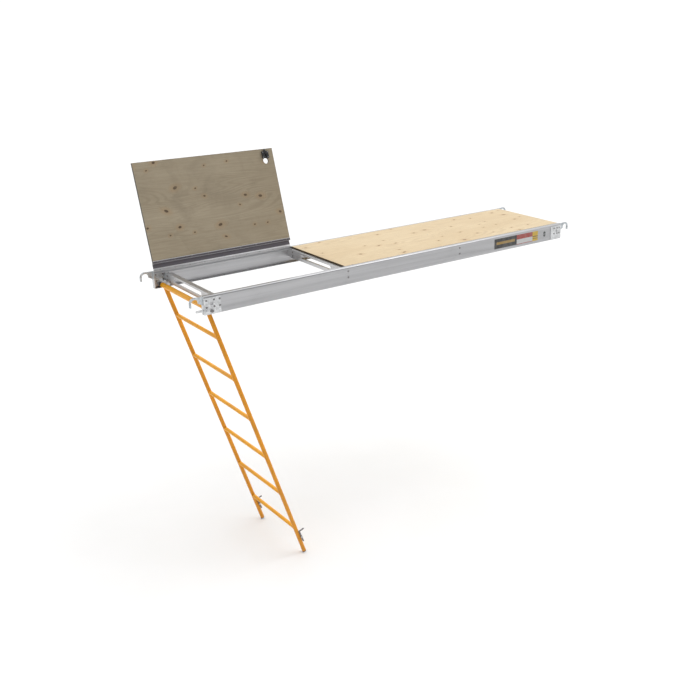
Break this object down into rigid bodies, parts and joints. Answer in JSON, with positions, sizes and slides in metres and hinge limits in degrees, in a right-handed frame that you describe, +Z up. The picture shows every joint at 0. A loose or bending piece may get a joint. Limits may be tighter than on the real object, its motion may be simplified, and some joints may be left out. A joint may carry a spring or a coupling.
{
  "type": "scaffold access deck",
  "caption": "Hook-on aluminium scaffold deck with a plywood surface, a hinged access hatch and a fold-away ladder.",
  "frame": {"origin": "centre of the scaffold tube that the hatch-end hooks sit on, at mid width", "axes": "+X along the deck to the plain end, +Y across to the hinged side, +Z up"},
  "size_m": [3.1136, 0.8968, 2.6095],
  "materials": {
    "rail": "mill finish extrusion, satin",
    "beam": "mill finish, satin",
    "galvanised": "galvanised steel, mottled satin",
    "hook_steel": "galvanised steel, smooth",
    "rivet": "satin",
    "plywood": "sanded plywood, clear matt",
    "hatch_ply": "weathered plywood, matt",
    "hinge": "dark mill finish",
    "ladder_paint": "orange powder coat, satin",
    "rung_paint": "orange powder coat, satin",
    "black_plastic": "moulded, matt",
    "pale_plastic": "nylon",
    "zinc": "zinc plated",
    "spring_steel": "spring steel",
    "label_black": "printed film",
    "label_red": "printed film",
    "label_yellow": "printed film",
    "label_dark": "printed film"
  },
  "bodies": {
    "deck": {"front_rail": "rail", "rear_rail": "rail", "hatch_end_beam": "beam", "header_beam": "beam", "deck_beam": "beam", "plain_end_beam": "beam", "end_beam_angles": "beam", "middle_beam_angles": "beam", "stow_keepers": "beam", "beam_rivets": "rivet", "bracket_rivets": "rivet", "bracket_hatch_end_front": "galvanised", "bracket_hatch_end_rear": "galvanised", "bracket_plain_end_front": "galvanised", "bracket_plain_end_rear": "galvanised", "hook_hatch_end_front": "hook_steel", "hook_hatch_end_rear": "hook_steel", "hook_plain_end_front": "hook_steel", "hook_plain_end_rear": "hook_steel", "deck_panel": "plywood", "deck_screws": "zinc", "hinge_socket": "beam", "hinge_rivets": "rivet", "pivot_bolts": "zinc", "pivot_nuts": "zinc", "pivot_spacers": "zinc", "wind_lock_pins": "zinc", "wind_lock_springs": "spring_steel", "name_plate": "label_black", "caution_plate": "label_red", "yellow_plate": "label_yellow", "oval_badge": "label_dark"},
    "hatch": {"hatch_panel": "hatch_ply", "hatch_hinge_profile": "hinge", "hatch_rivets": "rivet", "latch_case": "black_plastic", "latch_screws": "zinc", "latch_spring": "spring_steel"},
    "ladder": {"ladder_pivot_tube": "rung_paint", "ladder_stile_front": "ladder_paint", "ladder_stile_rear": "ladder_paint", "rung_1": "rung_paint", "rung_2": "rung_paint", "rung_3": "rung_paint", "rung_4": "rung_paint", "rung_5": "rung_paint", "rung_6": "rung_paint", "stile_plugs": "black_plastic", "ladder_stops": "galvanised", "pivot_bushes": "pale_plastic", "stow_lugs": "ladder_paint", "stow_pins": "zinc"},
    "latch": {"latch_bolt": "black_plastic"},
    "stow_front": {"stow_hook_front": "hook_steel"},
    "stow_rear": {"stow_hook_rear": "hook_steel"},
    "lock_front": {"wind_lock_front": "galvanised"},
    "lock_rear": {"wind_lock_rear": "galvanised"}
  },
  "joints": [
    {"name": "hatch_hinge", "type": "hinge", "parent": "deck", "child": "hatch", "pos_m": [0.554, 0.344, 0.0375], "axis": [1, 0, 0], "range_deg": [0, 107]},
    {"name": "latch_slide", "type": "slide", "parent": "hatch", "child": "latch", "axis": [0, -0.2924, -0.9563], "range_m": [0, 0.011], "stiffness_N_per_m": 400, "springref_m": -0.008, "deforming": ["latch_spring"]},
    {"name": "ladder_pivot", "type": "hinge", "parent": "deck", "child": "ladder", "pos_m": [0.1, 0, -0.062], "axis": [0, 1, 0], "range_deg": [-73, 0]},
    {"name": "stow_hook_front_pivot", "type": "hinge", "parent": "ladder", "child": "stow_front", "pos_m": [0.64359, -0.284, -1.79897], "axis": [0, 1, 0], "range_deg": [0, 90]},
    {"name": "stow_hook_rear_pivot", "type": "hinge", "parent": "ladder", "child": "stow_rear", "pos_m": [0.64359, 0.284, -1.79897], "axis": [0, 1, 0], "range_deg": [0, 90]},
    {"name": "wind_lock_front_pivot", "type": "hinge", "parent": "deck", "child": "lock_front", "pos_m": [0.068, -0.344, -0.055], "axis": [0, 1, 0], "range_deg": [-75, 0], "stiffness_Nm_per_rad": 0.08, "springref_deg": 34.38},
    {"name": "wind_lock_rear_pivot", "type": "hinge", "parent": "deck", "child": "lock_rear", "pos_m": [2.98, 0.344, -0.055], "axis": [0, 1, 0], "range_deg": [0, 75], "stiffness_Nm_per_rad": 0.08, "springref_deg": -34.38}
  ]
}
